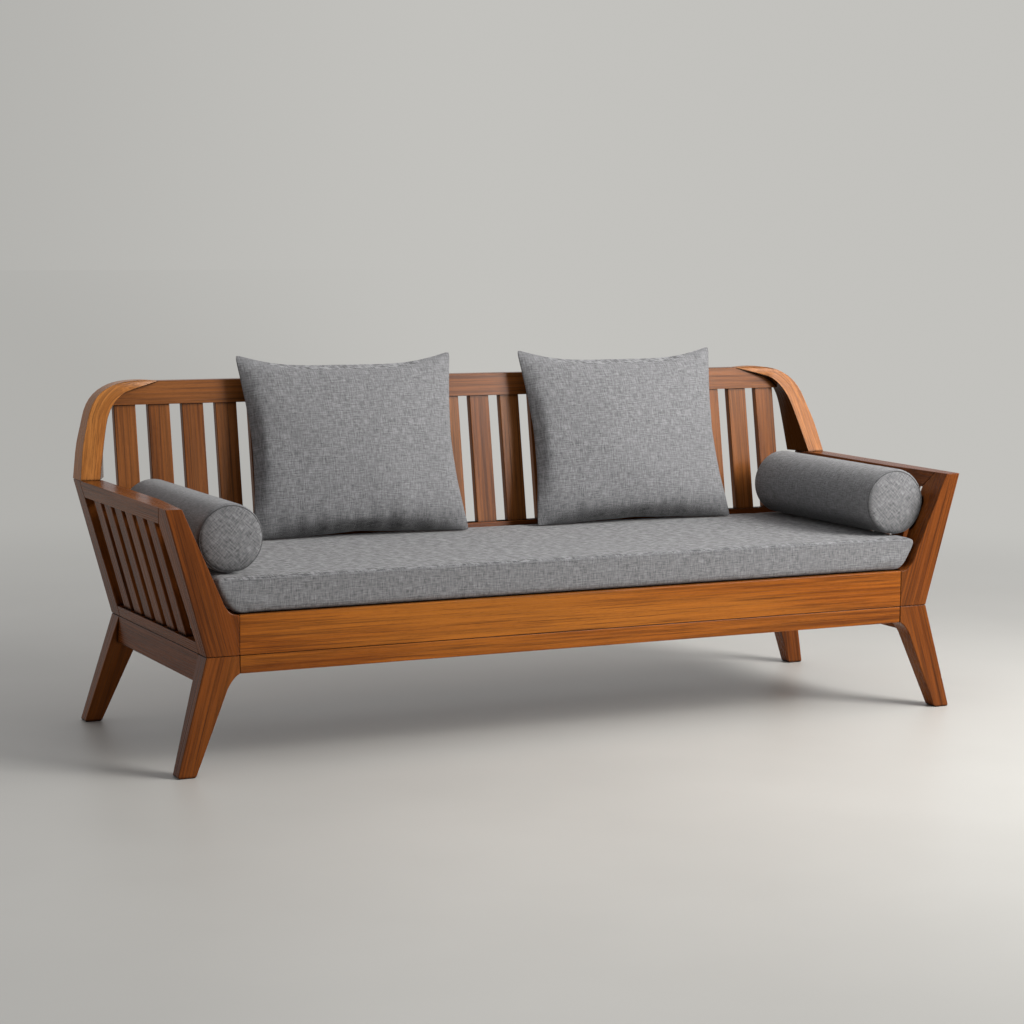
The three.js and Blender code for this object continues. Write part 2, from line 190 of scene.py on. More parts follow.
def wood(name, along, seed, base, dark, light, arch_side):
    """Oiled hardwood: slow bands, streaks and pores along the grain, with painted shade in joints and
    crevices and on the inner faces of the arches.
    """
    shader = Shader(name)
    place = grain(shader, along, seed, arch_side)
    wander = shader.noise(shader.scaled(place, WANDER), 1.0, 2.0)
    figure = shader.noise(shader.scaled(place, FIGURE), 1.0, 6.0, 0.72, 0.1)
    lines = shader.noise(shader.scaled(place, LINES), 1.0, 3.0, 0.6, 0.1)
    pores = shader.noise(shader.scaled(place, PORES), 1.0, 1.0, 0.5)
    deep = times(dark, 0.36)
    tone = shader.blend(shader.remap(figure, 0.36, 0.59), dark, base)
    tone = shader.blend(shader.remap(wander, 0.42, 0.72, 0, 0.5), tone, light)
    tone = shader.blend(shader.remap(lines, 0.52, 0.66, 0, 0.6), tone, deep)
    tone = shader.blend(shader.remap(pores, 0.60, 0.74, 0, 0.35), tone, deep)
    if arch_side:
        # painted shade: an arch's faces turned towards the seat are painted darker, as if in shade
        facing = shader.axes(shader.add("ShaderNodeTexCoord").outputs["Normal"])[0]
        shaded_inner_face = shader.math("MULTIPLY", facing, float(-arch_side))
        tone = shader.blend(shader.remap(shaded_inner_face, 0.12, 0.35, 0, 0.93), tone, times(dark, 0.22))
    # painted shade: darker where another surface is within reach, in joints and crevices
    painted_joint_shade = shader.remap(shader.openness(JOINT_SHADE, 4), 0.55, 0.95)
    tone = shader.blend(painted_joint_shade, times(dark, 0.08), tone)
    shader.link(tone, "Base Color")
    shader.link(shader.remap(lines, 0.3, 0.7, 0.21, 0.33), "Roughness")
    height = shader.math("ADD", shader.math("MULTIPLY", lines, 0.6), shader.math("MULTIPLY", pores, 0.5))
    shader.link(shader.bump(height, 0.14, 0.0006), "Normal")
    shader.bsdf.inputs["Specular IOR Level"].default_value = 0.13
    return shader.material


def linen(name, style="box", shade=1.0, painted_shade_reach=0.0):
    """Plain weave of grey yarns with darker and paler slubs, on flat panels or round a bolster.

    The end is the disc of a bolster or the top of a cushion; the last argument is the reach of painted
    shade where other surfaces come near.
    """
    shader = Shader(name)
    coord = shader.add("ShaderNodeTexCoord")
    x, y, z = shader.axes(coord.outputs["Object"])
    _, ny, nz = shader.axes(coord.outputs["Normal"])
    combine = lambda a, b: shader.add("ShaderNodeCombineXYZ", {0: a, 1: b, 2: 0.0}).outputs[0]
    if style == "round":
        side = combine(y, shader.math("MULTIPLY", shader.math("ARCTAN2", z, x), ROUND_OF_BOLSTER))
        slanted = combine(shader.math("ADD", x, z), shader.math("SUBTRACT", x, z))
        face = shader.scaled(slanted, (0.68, 0.68, 1))
        end = shader.remap(shader.math("ABSOLUTE", ny), 0.72, 0.8)
        end_reach, end_warp = 0.27, 1.0
    else:
        side = combine(x, z)
        face = combine(x, shader.math("MULTIPLY", y, 0.35))
        end = shader.remap(shader.math("ABSOLUTE", nz), 0.68, 0.76)
        end_reach, end_warp = 0.12, 0.5
    flat = shader.add("ShaderNodeMix", {0: end, 4: side, 5: face}, data_type="VECTOR").outputs[1]
    weft = shader.noise(shader.scaled(flat, (YARN_LONG, YARN_WIDE, 1)), 1.0, 2.5, 0.7)
    warp = shader.noise(shader.scaled(flat, (YARN_WIDE, YARN_LONG, 1), (3.1, 7.7, 0)), 1.0, 2.5, 0.7)
    slub = shader.noise(shader.scaled(flat, (SLUB_LONG, YARN_WIDE, 1), (9.1, 2.7, 0)), 1.0, 1.0, 0.5)
    cloud = shader.noise(shader.scaled(flat, (7, 7, 1)), 1.0, 2.0, 0.5)
    mid, dark, pale = (times(colour(v, v, v + 2), shade) for v in (114, 72, 150))
    warp_share = shader.remap(end, 0, 1, 1.0, end_warp)
    uneven = shader.math("MULTIPLY", shader.math("SUBTRACT", warp, 0.5), warp_share)
    cross = shader.math("ADD", shader.math("ADD", weft, 0.5), uneven)
    reach = shader.remap(end, 0, 1, 0.34, end_reach)
    off_mean = shader.math("SUBTRACT", cross, 1.0)
    contrast = shader.math("DIVIDE", off_mean, shader.math("MULTIPLY", reach, 2.0))
    tone = shader.blend(shader.math("ADD", contrast, 0.5, clamp=True), dark, pale)
    tone = shader.blend(shader.remap(slub, 0.62, 0.74, 0, 0.3), tone, dark)
    tone = shader.blend(shader.remap(cloud, 0.35, 0.65, 0.0, 0.2), tone, mid)
    # painted shade: darker where other surfaces are near, in creases and where pillows and bolsters meet
    # the seat and slats
    if painted_shade_reach:
        tone = shader.blend(shader.remap(shader.openness(painted_shade_reach, 3), 0.3, 0.85), times(dark, 0.25), tone)
    shader.link(tone, "Base Color")
    fine = shader.noise(shader.scaled(flat, (700, 700, 1)), 1.0, 1.0, 0.5)
    height = shader.math("ADD", cross, shader.math("MULTIPLY", fine, 0.7))
    shader.link(shader.bump(height, 0.5, 0.0012), "Normal")
    shader.bsdf.inputs["Roughness"].default_value = 0.93
    shader.bsdf.inputs["Specular IOR Level"].default_value = 0.18
    shader.bsdf.inputs["Sheen Weight"].default_value = 0.25
    shader.bsdf.inputs["Sheen Roughness"].default_value = 0.5
    return shader.material


# ---------- wooden frame ----------

BACK_SLOPE = 0.178                     # metres back for each metre up
RED = dict(base=colour(124, 65, 23), dark=colour(80, 40, 14), light=colour(150, 88, 36))
BACK = dict(base=colour(136, 79, 37), dark=colour(88, 48, 21), light=colour(164, 106, 58))
GOLD = dict(base=colour(154, 85, 26), dark=colour(104, 53, 16), light=colour(184, 114, 42))
ARCHES = dict(base=colour(180, 113, 54), dark=colour(132, 77, 31), light=colour(206, 142, 76))
TONES = (("front_rail", GOLD), ("corner_arch", ARCHES), ("back_", BACK))
EASED_EDGE, SLIGHT_EDGE = 0.0023, 0.0009
SLIGHTLY_EASED = ("corner_arch", "back_top")


def grain_of(node):
    """Direction of the grain of a straight piece."""
    sign = -1 if "left" in node else 1
    if node.startswith("front_leg"):
        return (sign * 75, -12, -275)
    if node.startswith("rear_leg"):
        return (sign * 75, 51, -275)
    if "arm_post" in node or node.startswith("arm_slat"):
        return (sign * 97, 0, 345)
    if node.startswith("back_slat"):
        return (0, BACK_SLOPE, 1)
    if "rail" in node and not node.startswith("arm"):
        return (1, 0, 0)
    return (0, 1, 0)


def ease_edges(obj, width):
    """Joins the faces of a wooden piece and rounds its edges a little."""
    obj.data.polygons.foreach_set("use_smooth", [True] * len(obj.data.polygons))
    if "custom_normal" in obj.data.attributes:
        obj.data.attributes.remove(obj.data.attributes["custom_normal"])
    obj.modifiers.new("joined_faces", "WELD").merge_threshold = 0.00002
    merge = obj.modifiers.new("flat_faces", "DECIMATE")
    merge.decimate_type = "DISSOLVE"
    merge.angle_limit = math.radians(0.6)
    bevel = obj.modifiers.new("eased_edges", "BEVEL")
    bevel.width = width
    bevel.use_clamp_overlap = False
    bevel.segments = 3
    bevel.limit_method = "ANGLE"
    bevel.angle_limit = math.radians(34)
    bevel.harden_normals = True


def finish_wood():
    for index, (node, obj) in enumerate(sorted(frame["nodes"].items())):
        if node in SOFT:
            continue
        tones = next((t for start, t in TONES if node.startswith(start)), RED)
        shift = 1 + 0.10 * noise.noise((index * 3.7, 1.3, 0.4))
        tones = {key: times(value, shift) for key, value in tones.items()}
        side = 0
        if node.startswith("corner_arch"):
            side = -1 if "left" in node else 1
        along = Vector(grain_of(node)).normalized()
        obj.data.materials.clear()
        obj.data.materials.append(wood(f"wood_{node}", along, index + 1, arch_side=side, **tones))
        ease_edges(obj, SLIGHT_EDGE if node.startswith(SLIGHTLY_EASED) else EASED_EDGE)


# ---------- stage ----------

CAMERA_PLACE = (-2.9468, -5.8086, 1.3147)
CAMERA_TURN = (0.4652, -0.121, 0.0103)       # yaw, pitch and roll in radians
CAMERA_LENS = 89.31                          # mm on a 36 mm sensor


def camera():
    yaw, pitch, roll = CAMERA_TURN
    ahead = Vector((math.sin(yaw) * math.cos(pitch), math.cos(yaw) * math.cos(pitch), math.sin(pitch)))
    right = Vector((math.cos(yaw), -math.sin(yaw), 0))
    up = right.cross(ahead)
    side = right * math.cos(roll) + up * math.sin(roll)
    top = up * math.cos(roll) - right * math.sin(roll)
    data = bpy.data.cameras.new("camera")
    data.sensor_width = 36
    data.lens = CAMERA_LENS
    obj = bpy.data.objects.new("camera", data)
    bpy.context.scene.collection.objects.link(obj)
    turn = Matrix((side, top, -ahead)).transposed().to_4x4()
    obj.matrix_world = Matrix.Translation(CAMERA_PLACE) @ turn
    bpy.context.scene.camera = obj


def area_light(name, place, aim, size, power):
    data = bpy.data.lights.new(name, "AREA")
    data.shape = "RECTANGLE"
    data.size, data.size_y = size
    data.energy = power
    data.color = LIGHT_TINT
    obj = bpy.data.objects.new(name, data)
    bpy.context.scene.collection.objects.link(obj)
    obj.location = place
    obj.rotation_euler = (Vector(aim) - Vector(place)).to_track_quat("-Z", "Y").to_euler()


HAZE = colour(193, 192, 188)
BACKDROP_LIGHT, ROOM_LIGHT = 0.30, 0.216
LIGHT_TINT = (1.0, 0.988, 0.968)
LIGHTS = (                                   # name, place, aim, size, power in watts
    ("key", (2.6, -3.2, 2.6), (0.1, 0, 0.45), (1.8, 1.8), 150),
    ("key_near", (1.9, -1.7, 2.3), (0.1, 0, 0.45), (1.4, 1.4), 34),
    ("key_front", (2.6, -4.4, 1.9), (0.1, 0, 0.45), (1.5, 1.5), 34),
    ("key_side", (3.6, -0.9, 2.4), (0.1, 0, 0.45), (1.5, 1.5), 17),
    ("top", (0.3, -0.3, 3.4), (0.3, -0.3, 0), (3.0, 2.0), 18),
    ("top_back", (0.2, 2.4, 2.8), (0, 0, 0.4), (2.5, 1.5), 10),
)
# The haze is painted dimmer towards one side, as painted shade of light falling from the other side:
# direction, range along it, and strength at both ends.
ACROSS, ACROSS_RANGE, DIMMING = (0.894, -0.448, 0.0), (-0.27, 0.0), (0.82, 1.02)


def world():
    """Bright backdrop behind the object, dimmer room in front; seen directly, a soft pale wall painted
    dimmer towards one side.
    """
    made = bpy.data.worlds.new("studio")
    bpy.context.scene.world = made
    made.use_nodes = True
    tree = made.node_tree
    tree.nodes.clear()

    def add(kind, **settings):
        node = tree.nodes.new(kind)
        for key, value in settings.items():
            setattr(node, key, value)
        return node

    def ramp(source, low, high, to_low, to_high):
        node = add("ShaderNodeMapRange", interpolation_type="SMOOTHSTEP")
        tree.links.new(source, node.inputs["Value"])
        for key, value in (("From Min", low), ("From Max", high), ("To Min", to_low), ("To Max", to_high)):
            node.inputs[key].default_value = value
        return node.outputs[0]

    heading = add("ShaderNodeTexCoord").outputs["Generated"]
    axes = add("ShaderNodeSeparateXYZ")
    tree.links.new(heading, axes.inputs[0])
    back = ramp(axes.outputs["Y"], -0.25, 0.6, 0.0, BACKDROP_LIGHT)
    low = ramp(axes.outputs["Z"], 0.45, 0.9, 1.0, 0.15)
    wall = add("ShaderNodeMath", operation="MULTIPLY")
    tree.links.new(back, wall.inputs[0])
    tree.links.new(low, wall.inputs[1])
    both = add("ShaderNodeMath", operation="ADD")
    tree.links.new(wall.outputs[0], both.inputs[0])
    both.inputs[1].default_value = ROOM_LIGHT
    light = add("ShaderNodeBackground")
    light.inputs["Color"].default_value = (0.98, 0.985, 1.0, 1)
    tree.links.new(both.outputs[0], light.inputs["Strength"])
    level = add("ShaderNodeVectorMath", operation="DOT_PRODUCT")
    tree.links.new(heading, level.inputs[0])
    level.inputs[1].default_value = ACROSS
    # painted shade: the wall seen directly is dimmer towards one side
    dim = ramp(level.outputs["Value"], *ACROSS_RANGE, *DIMMING)
    seen = add("ShaderNodeBackground")
    seen.inputs["Color"].default_value = HAZE
    tree.links.new(dim, seen.inputs["Strength"])
    mix = add("ShaderNodeMixShader")
    tree.links.new(add("ShaderNodeLightPath").outputs["Is Camera Ray"], mix.inputs[0])
    tree.links.new(light.outputs[0], mix.inputs[1])
    tree.links.new(seen.outputs[0], mix.inputs[2])
    tree.links.new(mix.outputs[0], add("ShaderNodeOutputWorld").inputs[0])


def floor():
    """A pale floor that fades into the glowing haze of the backdrop, painted dimmer towards one side."""
    mesh = bpy.data.meshes.new("floor")
    reach = 40
    corners = [(-reach, -reach, 0), (reach, -reach, 0), (reach, reach, 0), (-reach, reach, 0)]
    mesh.from_pydata(corners, [], [(0, 1, 2, 3)])
    obj = bpy.data.objects.new("floor", mesh)
    bpy.context.scene.collection.objects.link(obj)
    shader = Shader("pale_floor")
    place = shader.add("ShaderNodeTexCoord").outputs["Object"]
    mottle = shader.noise(shader.scaled(place, (0.9, 0.9, 0.9)), 1.0, 4.0, 0.55)
    uneven = shader.remap(mottle, 0.3, 0.7)
    shader.link(shader.blend(uneven, colour(196, 194, 189), colour(204, 202, 197)), "Base Color")
    shader.bsdf.inputs["Roughness"].default_value = 0.42
    shader.bsdf.inputs["Specular IOR Level"].default_value = 0.35
    distance = shader.add("ShaderNodeVectorMath", {0: place}, operation="LENGTH").outputs["Value"]
    fade = shader.add("ShaderNodeMapRange", {"Value": distance, "From Min": 1.1, "From Max": 4.5},
                      interpolation_type="SMOOTHSTEP").outputs[0]
    heading = shader.add("ShaderNodeVectorMath", {0: place}, operation="NORMALIZE").outputs[0]
    level = shader.add("ShaderNodeVectorMath", {0: heading, 1: ACROSS}, operation="DOT_PRODUCT")
    ramp = {"Value": level.outputs["Value"], "From Min": ACROSS_RANGE[0], "From Max": ACROSS_RANGE[1],
            "To Min": DIMMING[0], "To Max": DIMMING[1]}
    # painted shade: the haze on the floor is dimmer towards the same side
    dim = shader.add("ShaderNodeMapRange", ramp, interpolation_type="SMOOTHSTEP").outputs[0]
    haze = shader.add("ShaderNodeEmission", {"Color": HAZE, "Strength": dim})
    mix = shader.add("ShaderNodeMixShader")
    output = shader.tree.nodes["Material Output"]
    shader.tree.links.new(fade, mix.inputs[0])
    shader.tree.links.new(shader.bsdf.outputs[0], mix.inputs[1])
    shader.tree.links.new(haze.outputs[0], mix.inputs[2])
    shader.tree.links.new(mix.outputs[0], output.inputs["Surface"])
    obj.data.materials.append(shader.material)
    obj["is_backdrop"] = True


def stage():
    bpy.context.scene.view_settings.view_transform = "Standard"
    camera()
    world()
    floor()
    for name, place, aim, size, power in LIGHTS:
        area_light(name, place, aim, size, power)


# ---------- soft pieces ----------

SEAT_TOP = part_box("seat_cushion")[1][2]
SLAT_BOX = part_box("back_slat_05")


def slats_front(z):
    """Y of the front faces of the back slats, which lean back."""
    low, high = SLAT_BOX
    thick = (high[1] - low[1]) - BACK_SLOPE * (high[2] - low[2])
    return high[1] - thick - BACK_SLOPE * (high[2] - z)


def points_of(mesh):
    co = np.empty(len(mesh.vertices) * 3, dtype=np.float64)
    mesh.vertices.foreach_get("co", co)
    return co.reshape(-1, 3)


def set_points(obj, co):
    obj.data.vertices.foreach_set("co", np.ascontiguousarray(co, dtype=np.float32).ravel())
    obj.data.update()


def add_mesh(name, verts, faces, material):
    mesh = bpy.data.meshes.new(name)
    mesh.from_pydata([tuple(map(float, v)) for v in verts], [], faces)
    mesh.polygons.foreach_set("use_smooth", [True] * len(mesh.polygons))
    obj = bpy.data.objects.new(name, mesh)
    bpy.context.scene.collection.objects.link(obj)
    mesh.materials.append(material)
    return obj


def puff(obj, pressure, frames, cap, stiff, bend, even=0):
    """Blows up a closed mesh as cloth with air in it, and keeps the result in its own vertices."""
    scene = bpy.context.scene
    before = points_of(obj.data)
    cloth = obj.modifiers.new("puff", "CLOTH")
    settings = cloth.settings
    settings.quality = 5
    settings.mass = 0.3
    settings.tension_stiffness = settings.compression_stiffness = stiff
    settings.shear_stiffness = stiff * 0.4
    settings.bending_stiffness = bend
    settings.use_pressure = True
    settings.uniform_pressure_force = pressure
    settings.effector_weights.gravity = 0
    cloth.point_cache.frame_start, cloth.point_cache.frame_end = 1, frames
    for step in range(1, frames + 1):
        scene.frame_set(step)
    graph = bpy.context.evaluated_depsgraph_get()
    after = points_of(obj.evaluated_get(graph).to_mesh())
    obj.evaluated_get(graph).to_mesh_clear()
    obj.modifiers.remove(cloth)
    scene.frame_set(1)
    move = spread(obj.data, after - before, even)
    length = np.linalg.norm(move, axis=1, keepdims=True)
    move *= np.minimum(1.0, cap / np.maximum(length, 1e-9))
    set_points(obj, before + move)


def spread(mesh, values, rounds, weight=0.5):
    """Values per vertex, evened out along the edges of the mesh."""
    edges = np.array([tuple(e.vertices) for e in mesh.edges])
    count = np.bincount(edges.ravel(), minlength=len(values))[:, None]
    for _ in range(rounds):
        total = np.zeros_like(values)
        np.add.at(total, edges[:, 0], values[edges[:, 1]])
        np.add.at(total, edges[:, 1], values[edges[:, 0]])
        values = values + (total / count - values) * weight
    return values


def smooth_out(obj, rounds, weight):
    set_points(obj, spread(obj.data, points_of(obj.data), rounds, weight))


def subdivide(obj):
    made = obj.modifiers.new("soft", "SUBSURF")
    made.levels = made.render_levels = 1


def blunt(x, z, half_x, half_z, radius):
    """Rounds the corner of a panel."""
    out_x, out_z = abs(x) - (half_x - radius), abs(z) - (half_z - radius)
    if out_x <= 0 or out_z <= 0 or math.hypot(out_x, out_z) <= radius:
        return x, z
    reach = radius / math.hypot(out_x, out_z)
    corner = (half_x - radius + out_x * reach, half_z - radius + out_z * reach)
    return math.copysign(corner[0], x), math.copysign(corner[1], z)


PILLOW_CUT, PILLOW_SEWN = (0.602, 0.484), (0.604, 0.488)
PILLOW_THICK, PILLOW_LEAN = 0.150, 0.285
PILLOW_GRID = (96, 76)
SOFT_BOTTOM, SOFT_BACK = 0.008, 0.02         # depth of the cloth that flattens where a pillow rests
PILLOW_CORNER, SIDE_HOLLOW, TOP_HOLLOW = 0.015, 0.010, 0.019


def pillow(side, seed):
    """Two panels sewn along their edges, then filled."""
    width, height = PILLOW_CUT
    nx, nz = PILLOW_GRID
    verts, index = [], {}
    for layer in (-1, 1):
        for j in range(nz + 1):
            for i in range(nx + 1):
                edge = i in (0, nx) or j in (0, nz)
                if edge and layer == 1:
                    index[layer, i, j] = index[-1, i, j]
                    continue
                u, v = 2 * i / nx - 1, 2 * j / nz - 1
                ripple = noise.noise((u * 2.1 + seed, v * 2.1, layer * 3.0))
                loft = (0.066 + 0.005 * ripple) * ((1 - u * u) * (1 - v * v)) ** 0.74
                half = (width / 2, height / 2)
                across, up = blunt(u * half[0], v * half[1], *half, PILLOW_CORNER)
                across -= u * SIDE_HOLLOW * (1 - v * v)
                up -= (TOP_HOLLOW if v > 0 else 0.0) * (1 - abs(u) ** 3.5) * v * v
                index[layer, i, j] = len(verts)
                verts.append((across, layer * loft, up))
    faces = []
    for layer in (-1, 1):
        for j in range(nz):
            for i in range(nx):
                around = ((i, j), (i + 1, j), (i + 1, j + 1), (i, j + 1))
                quad = [index[layer, a, b] for a, b in around]
                faces.append(quad if layer == -1 else quad[::-1])
    cover = linen(f"linen_pillow_{side}", shade=1.2, painted_shade_reach=0.12)
    obj = add_mesh(f"pillow_{side}", verts, faces, cover)
    corners = [index[-1, i, j] for i in (0, nx) for j in (0, nz)]
    return obj, corners


def pucker(co, half_x, half_z, seed):
    """Small gathers next to the seams and slow hollows over the panels, as a share of the thickness."""
    share = np.empty(len(co))
    for k, (x, _, z) in enumerate(co):
        near_x = math.exp(-(half_x - abs(x)) / 0.030)
        near_z = math.exp(-(half_z - abs(z)) / 0.038) * (1.5 if z < 0 else 0.7)
        gathers = near_x * noise.noise((x * 5, seed, z * 30)) + near_z * noise.noise((x * 24, seed, z * 5))
        share[k] = 1 + 0.34 * gathers + 0.10 * noise.noise((x * 6, seed + 3, z * 6))
    return share


def lay_pillow(obj, corners, turn, centre, seed):
    """Sizes a filled pillow, leans it back and flattens it on the seat and against the slats."""
    width, height = PILLOW_SEWN
    co = points_of(obj.data)
    co -= co[corners].mean(axis=0)
    span = co.max(axis=0) - co.min(axis=0)
    co[:, 0] *= width / span[0]
    co[:, 2] *= height / span[2]
    deep = co[:, 1].max() - co[:, 1].min()
    co[:, 1] *= PILLOW_THICK / deep * pucker(co, width / 2, height / 2, seed)
    rotation = np.array(Matrix.Rotation(turn, 3, "Z") @ Matrix.Rotation(-PILLOW_LEAN, 3, "X"))
    world_co = co @ rotation.T + np.array(centre)
    floor_z = SEAT_TOP + 0.001
    low = world_co[:, 2] < floor_z + SOFT_BOTTOM
    sink = np.clip((floor_z + SOFT_BOTTOM - world_co[low, 2]) / (2 * SOFT_BOTTOM), 0, 1)
    world_co[low, 2] = floor_z + SOFT_BOTTOM * (1 - sink) ** 2
    limit = np.array([slats_front(z) for z in world_co[:, 2]]) - 0.0015
    near = world_co[:, 1] > limit - SOFT_BACK
    press = np.clip((world_co[near, 1] - limit[near] + SOFT_BACK) / (3 * SOFT_BACK), 0, 1)
    world_co[near, 1] = limit[near] - SOFT_BACK * (1 - press) ** 2
    local = (world_co - np.array(centre)) @ rotation
    set_points(obj, local)
    obj.matrix_world = Matrix.Translation(centre) @ Matrix(rotation.tolist()).to_4x4()
    subdivide(obj)


def declare(obj, node):
    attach(obj, node)
    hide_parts(node)


def pillows():
    for side, seed, turn in (("left", 0.0, math.radians(-1.0)), ("right", 5.0, math.radians(0.0))):
        low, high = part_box(f"throw_pillow_{side}")
        centre = ((low[0] + high[0]) / 2, (low[1] + high[1]) / 2 + 0.006, (low[2] + high[2]) / 2)
        obj, corners = pillow(side, seed)
        puff(obj, 2.5, 14, cap=0.018, stiff=18, bend=0.25, even=24)
        lay_pillow(obj, corners, turn, centre, seed)
        declare(obj, f"throw_pillow_{side}")


def shell(name, counts, place, material):
    """Closed grid over the six sides of a box; place(u, v, w) puts each point, with u, v, w from 0 to 1."""
    nu, nv, nw = counts
    verts, index, faces = [], {}, []

    def vertex(i, j, k):
        if (i, j, k) not in index:
            index[i, j, k] = len(verts)
            verts.append(place(i / nu, j / nv, k / nw))
        return index[i, j, k]

    def side(na, nb, corner, flip):
        for a in range(na):
            for b in range(nb):
                around = ((a, b), (a + 1, b), (a + 1, b + 1), (a, b + 1))
                quad = [vertex(*corner(*step)) for step in around]
                faces.append(quad[::-1] if flip else quad)

    side(nu, nv, lambda a, b: (a, b, 0), True)
    side(nu, nv, lambda a, b: (a, b, nw), False)
    side(nu, nw, lambda a, b: (a, 0, b), False)
    side(nu, nw, lambda a, b: (a, nv, b), True)
    side(nv, nw, lambda a, b: (0, a, b), True)
    side(nv, nw, lambda a, b: (nu, a, b), False)
    return add_mesh(name, verts, faces, material)


# Half the width of the seat cushion by share of its height, and the most there is between the posts.
CUSHION_SHARES, CUSHION_HALVES = [0.0, 0.08, 0.28, 0.88, 1.0], [0.922, 0.937, 0.950, 0.977, 0.972]
POST_HEIGHTS, POST_HALVES = [0.372, 0.380, 0.397, 0.460], [0.924, 0.940, 0.9545, 0.9825]
FRONT_LIFT, FRONT_SAG = 0.0034, 0.0009       # the front edge curls up and the cushion sags behind it


def seat_cushion():
    low, high = (Vector(c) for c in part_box("seat_cushion"))
    inset = 0.003

    def place(u, v, w):
        half = np.interp(w, CUSHION_SHARES, CUSHION_HALVES) - inset
        z = low.z + 0.001 + w * (high.z - low.z - 0.004)
        y = low.y + inset + v * (high.y - low.y - 2 * inset)
        return ((2 * u - 1) * half, y, z)

    obj = shell("seat_pad", (170, 58, 10), place, linen("linen_seat"))
    smooth_out(obj, 2, 0.35)
    puff(obj, 2.5, 14, cap=0.007, stiff=15, bend=0.6)
    co = points_of(obj.data)
    u = np.clip(np.abs(co[:, 0]) / 0.96, 0, 1)
    v = np.clip(np.abs(co[:, 1] - (low.y + high.y) / 2) / ((high.y - low.y) / 2), 0, 1)
    middle = (1 - u ** 6) * (1 - v ** 4)
    top = np.clip((co[:, 2] - low.z - 0.04) / 0.03, 0, 1)
    co[:, 2] = np.clip(co[:, 2] + 0.002 * middle * top, low.z, high.z - 0.0005)
    under = np.clip((low.z + 0.02 - co[:, 2]) / 0.02, 0, 1)
    front_edge = np.clip((low.y + 0.016 - co[:, 1]) / 0.012, 0, 1)
    behind = np.clip((co[:, 1] - low.y - 0.012) / 0.006, 0, 1)
    behind = behind * np.clip((low.y + 0.05 - co[:, 1]) / 0.01, 0, 1)
    co[:, 2] += (FRONT_LIFT * front_edge - FRONT_SAG * behind) * under
    reach = np.interp(co[:, 2], POST_HEIGHTS, POST_HALVES)
    co[:, 0] = np.clip(co[:, 0], -reach, reach)
    set_points(obj, co)
    subdivide(obj)
    declare(obj, "seat_cushion")
    # painted shade: the seam ridges are coloured darker, as the shade along a raised seam
    shaded_seam_material = linen("linen_seam", shade=0.9)
    along, depth = np.linspace(-0.93, 0.93, 240), np.linspace(low.y + 0.03, high.y - 0.03, 80)
    for name, z in (("top", high.z - 0.0085), ("bottom", low.z + 0.0125)):
        rays = [((x, low.y - 0.05, z), (0, 1, 0)) for x in along]
        rays += [((1.05, y, z), (-1, 0, 0)) for y in depth]
        rays += [((x, high.y + 0.05, z), (0, -1, 0)) for x in along[::-1]]
        rays += [((-1.05, y, z), (1, 0, 0)) for y in depth[::-1]]
        seam(f"seat_seam_{name}", obj, rays, 0.0010, "seat_cushion", shaded_seam_material)


def seam(name, cloth, rays, radius, body, material):
    """A sewn ridge along the points where the rays meet the cloth."""
    verts = [tuple(v.co) for v in cloth.data.vertices]
    tree = BVHTree.FromPolygons(verts, [tuple(p.vertices) for p in cloth.data.polygons])
    path = []
    for start, heading in rays:
        hit, normal, _, _ = tree.ray_cast(Vector(start), Vector(heading))
        if hit is not None:
            path.append((hit, normal))
    count, sides = len(path), 6
    verts, faces = [], []
    for k, (hit, normal) in enumerate(path):
        ahead = (path[(k + 1) % count][0] - path[k - 1][0]).normalized()
        out = (normal - ahead * normal.dot(ahead)).normalized()
        across = ahead.cross(out)
        stitch = radius * (1.0 if k % 2 else 0.72)
        for j in range(sides):
            a = 2 * math.pi * j / sides
            verts.append(hit + out * (stitch * math.cos(a)) + across * (radius * math.sin(a)))
    for k in range(count):
        n = (k + 1) % count
        for j in range(sides):
            m = (j + 1) % sides
            faces.append((k * sides + j, k * sides + m, n * sides + m, n * sides + j))
    ridge = add_mesh(name, verts, faces, material)
    ridge.matrix_world = Matrix.Translation(cloth.location)
    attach(ridge, body)


def keep_off_arm(co, centre, side):
    """Flattens a bolster where it would press into the wood of its arm."""
    verts, faces = [], []
    for node in (f"front_arm_post_{side}", f"arm_cap_{side}", f"rear_arm_post_{side}"):
        mesh = frame["nodes"][node].data
        faces += [[len(verts) + i for i in polygon.vertices] for polygon in mesh.polygons]
        verts += [tuple(v.co) for v in mesh.vertices]
    arm = BVHTree.FromPolygons(verts, faces)
    outwards = 1 if side == "right" else -1
    for k, (_, y, z) in enumerate(co):
        hit = arm.ray_cast(Vector((centre.x, centre.y + y, centre.z + z)), Vector((outwards, 0, 0)))[0]
        if hit is not None:
            room = abs(hit.x - centre.x) - 0.0008
            co[k, 0] = outwards * min(outwards * co[k, 0], room)


AROUND = 96                                  # points round a bolster
ROUNDING, DOME = 0.014, 0.008                # its rounded edge, and how far its ends swell


def bolster_profile(radius, length):
    """Radius and place along the axis, from the middle of one end to the middle of the other."""
    front = [((radius - ROUNDING) * t, DOME * (t * t)) for t in np.linspace(0, 1, 9)[:-1]]
    for t in np.linspace(0, math.pi / 2, 6):
        front.append((radius - ROUNDING + ROUNDING * math.sin(t), DOME + ROUNDING * (1 - math.cos(t))))
    half = [(r, -length / 2 + y) for r, y in front]
    body = [(radius, y) for y in np.linspace(half[-1][1], -half[-1][1], 58)[1:-1]]
    return half + body + [(r, -y) for r, y in reversed(half)]


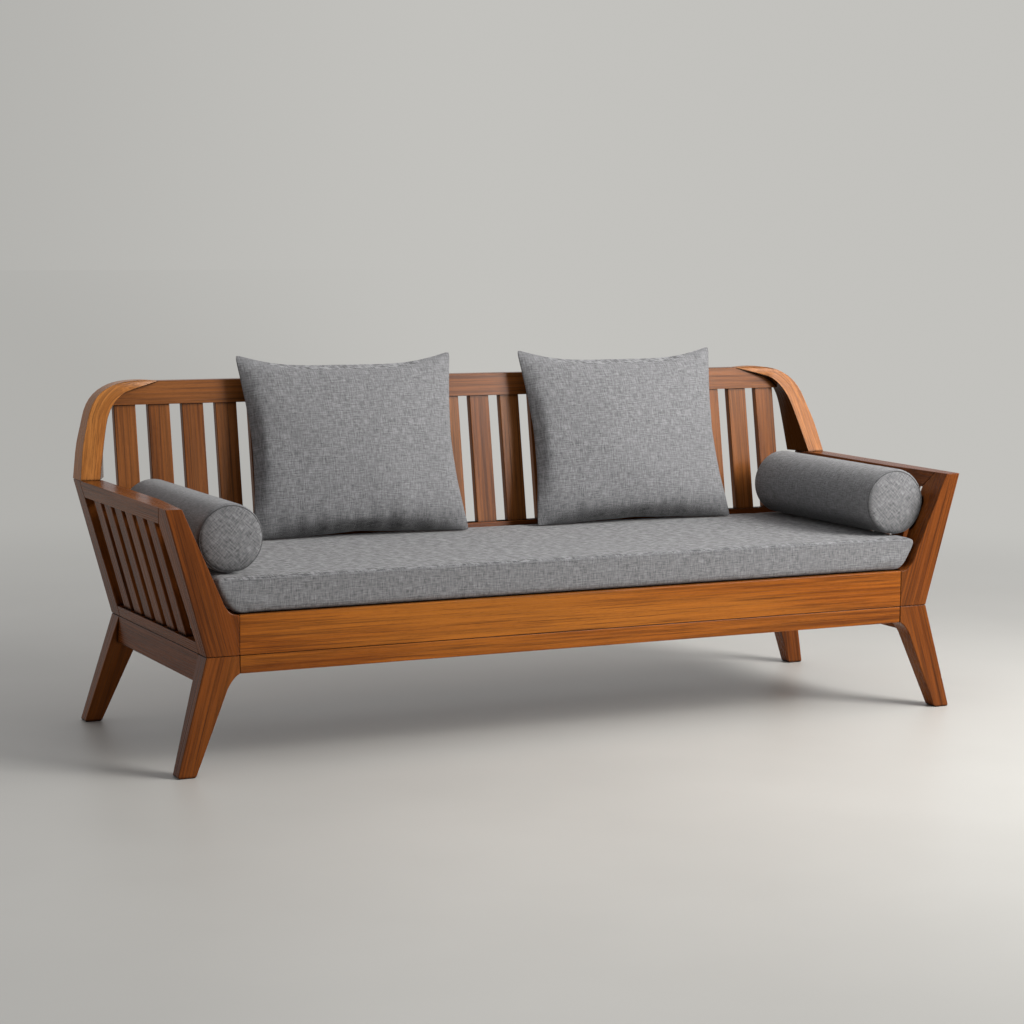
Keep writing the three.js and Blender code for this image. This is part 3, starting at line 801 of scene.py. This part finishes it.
def bolster(side):
    node = f"bolster_{side}"
    low, high = (Vector(c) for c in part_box(node))
    radius = (high.x - low.x) / 2
    centre = (low + high) / 2
    length = high.y - low.y
    whole = bolster_profile(radius, length)
    verts, faces = [(0, whole[0][1], 0)], []
    rings = []
    for r, y in whole[1:-1]:
        rings.append(len(verts))
        for k in range(AROUND):
            a = 2 * math.pi * k / AROUND
            verts.append((r * math.cos(a), y, r * math.sin(a)))
    last = len(verts)
    verts.append((0, whole[-1][1], 0))
    for k in range(AROUND):
        n = (k + 1) % AROUND
        faces.append((0, rings[0] + k, rings[0] + n))
        faces.append((last, rings[-1] + n, rings[-1] + k))
        for a, b in zip(rings, rings[1:]):
            faces.append((a + k, b + k, b + n, a + n))
    cover = linen(f"linen_bolster_{side}", "round", painted_shade_reach=0.06)
    obj = add_mesh(f"bolster_pad_{side}", verts, faces, cover)
    bm = bmesh.new()
    bm.from_mesh(obj.data)
    bmesh.ops.recalc_face_normals(bm, faces=bm.faces)
    bm.to_mesh(obj.data)
    bm.free()
    puff(obj, 2.0, 10, cap=0.004, stiff=15, bend=0.5)
    co = points_of(obj.data)
    bottom = SEAT_TOP + 0.0012 - centre.z
    co[:, 2] *= np.where(co[:, 2] > 0, 1.03, 1.0)
    near = co[:, 2] < bottom + 0.008
    press = np.clip((bottom + 0.008 - co[near, 2]) / 0.02, 0, 1)
    co[near, 2] = bottom + 0.008 * (1 - press) ** 2
    if side == "right":                      # it lies a little askew, nearer the arm at the front
        co[:, 0] += 0.001 + 0.009 * (0.5 - co[:, 1] / length)
    keep_off_arm(co, centre, side)
    set_points(obj, co)
    obj.location = centre
    subdivide(obj)
    declare(obj, node)
    # painted shade: the seam ridges are coloured darker, as the shade along a raised seam
    shaded_seam_material = linen(f"linen_seam_{side}", "round", 0.4)
    inside = 0.006
    for name, way in (("front", -1), ("back", 1)):
        rays = []
        for k in range(150):
            a = 2 * math.pi * k / 150
            out = Vector((math.cos(a), way * 0.75, math.sin(a))).normalized()
            r, y = radius - inside, way * (length / 2 - DOME - inside)
            edge = Vector((r * math.cos(a), y, r * math.sin(a)))
            rays.append((edge + out * 0.03, -out))
        seam(f"bolster_seam_{side}_{name}", obj, rays, 0.0012, node, shaded_seam_material)


stage()
finish_wood()
seat_cushion()
pillows()
bolster("left")
bolster("right")

VISUAL_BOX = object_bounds()
[[list(map(float, corner)) for corner in box] for box in (CAD_BOX, VISUAL_BOX)]
